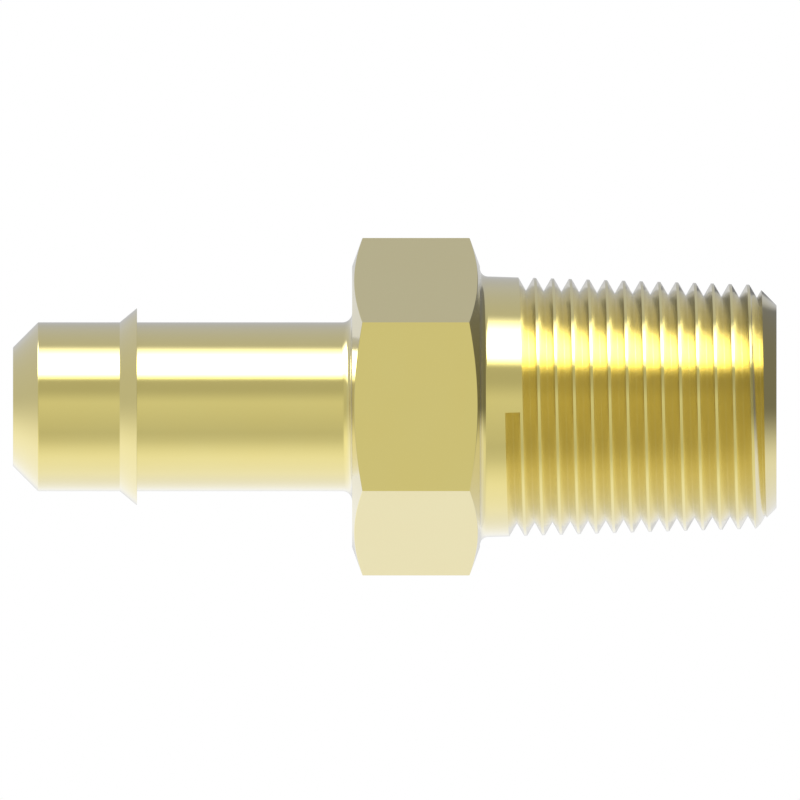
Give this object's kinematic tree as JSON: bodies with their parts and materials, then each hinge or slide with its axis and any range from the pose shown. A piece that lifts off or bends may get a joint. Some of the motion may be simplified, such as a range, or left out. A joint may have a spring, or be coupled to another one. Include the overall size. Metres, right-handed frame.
{
  "type": "hose barb tail",
  "caption": "Brass hose tail with a male taper pipe thread, a hexagon for a spanner and a plain tail with one sharp barb, bored straight through.",
  "frame": {"origin": "on the bore's axis, in the plane of the thread's end face, on which the part stands", "axes": "+Z along the bore axis from the thread's end to the tip of the tail; two corners of the hexagon lie on the X axis and two of its flats face -Y and +Y"},
  "size_m": [0.0344, 0.0298, 0.078],
  "materials": {
    "brass": "bright turned brass"
  },
  "bodies": {
    "root": {"hose_tail": "brass"}
  },
  "joints": []
}
